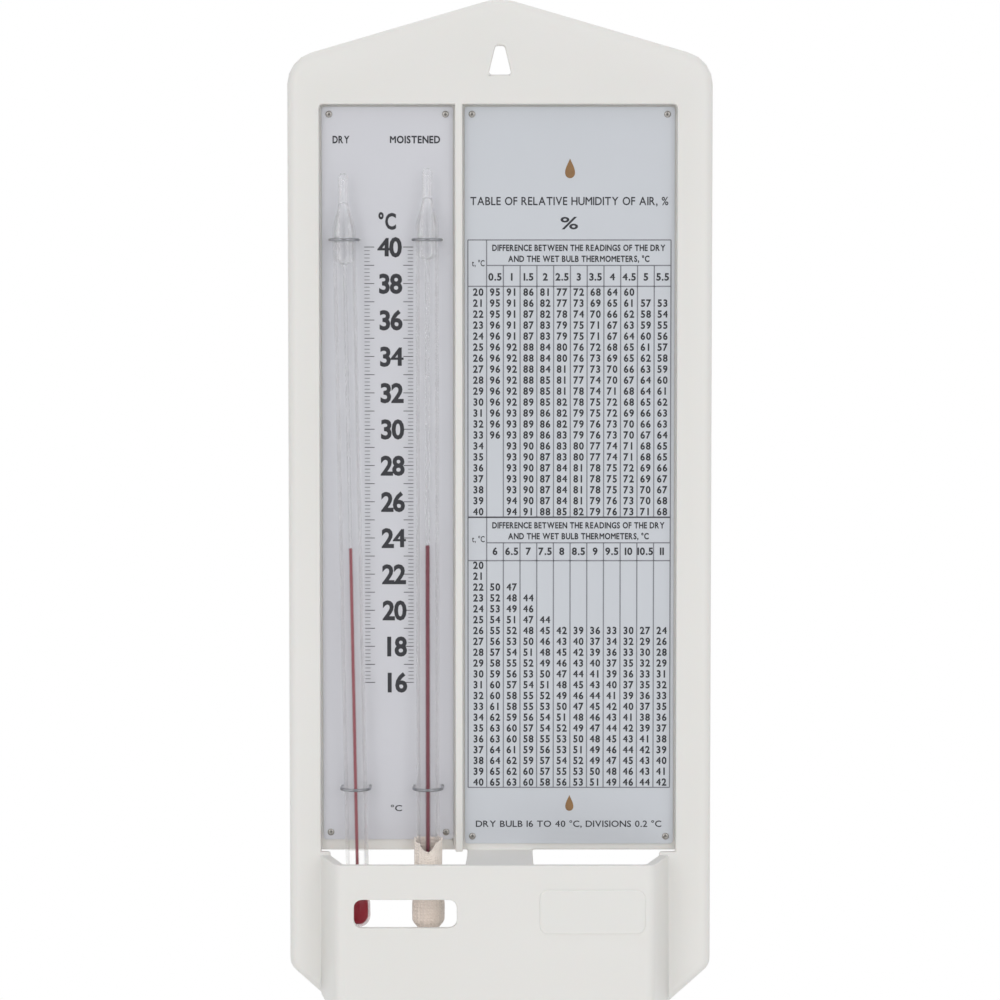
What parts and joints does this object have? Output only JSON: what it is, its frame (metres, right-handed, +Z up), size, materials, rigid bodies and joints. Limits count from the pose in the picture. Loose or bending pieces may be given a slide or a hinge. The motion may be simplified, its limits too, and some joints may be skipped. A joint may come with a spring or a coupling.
{
  "type": "wet and dry bulb hygrometer",
  "caption": "Wall-hung hygrometer: roofed white base, dry and wet spirit thermometers, humidity table plate, cloth wick and a glass water feeder that slides out at the back.",
  "frame": {"origin": "the point of the hanging hole that rests on the nail, on the wall plane", "axes": "+Z up, -Y out of the wall towards the reader, +X to the reader's right"},
  "size_m": [0.12, 0.05, 0.3123],
  "materials": {
    "white_plastic": "satin white moulded polystyrene",
    "scale_sheet": "pale grey printed sheet, satin",
    "table_sheet": "pale grey printed sheet, satin",
    "pin_steel": "dull steel pin heads",
    "clear_glass": "clear drawn glass",
    "red_spirit": "red coloured spirit",
    "staple_wire": "drawn steel wire",
    "cambric": "unbleached cambric, damp at the foot",
    "thread": "cotton thread",
    "feeder_glass": "clear drawn glass",
    "water": "clear distilled water",
    "clip_steel": "spring steel strip",
    "screw_steel": "zinc-plated screw"
  },
  "bodies": {
    "instrument": {"base": "white_plastic", "scale_plate": "scale_sheet", "table_plate": "table_sheet", "scale_plate_pin_1": "pin_steel", "scale_plate_pin_2": "pin_steel", "scale_plate_pin_3": "pin_steel", "scale_plate_pin_4": "pin_steel", "table_plate_pin_1": "pin_steel", "table_plate_pin_2": "pin_steel", "table_plate_pin_3": "pin_steel", "table_plate_pin_4": "pin_steel", "dry_thermometer_glass": "clear_glass", "dry_thermometer_spirit": "red_spirit", "dry_thermometer_sealed_tip": "clear_glass", "wet_thermometer_glass": "clear_glass", "wet_thermometer_spirit": "red_spirit", "wet_thermometer_sealed_tip": "clear_glass", "dry_upper_staple": "staple_wire", "dry_lower_staple": "staple_wire", "wet_upper_staple": "staple_wire", "wet_lower_staple": "staple_wire", "wick": "cambric", "wick_tie_upper": "thread", "wick_tie_lower": "thread", "feeder_clip_upper": "clip_steel", "feeder_clip_screw_upper": "screw_steel", "feeder_clip_lower": "clip_steel", "feeder_clip_screw_lower": "screw_steel"},
    "feeder": {"feeder_glass": "feeder_glass", "feeder_water": "water"}
  },
  "joints": [
    {"name": "feeder_slide", "type": "slide", "parent": "instrument", "child": "feeder", "axis": [0, 0, -1], "range_m": [0, 0.067]}
  ]
}
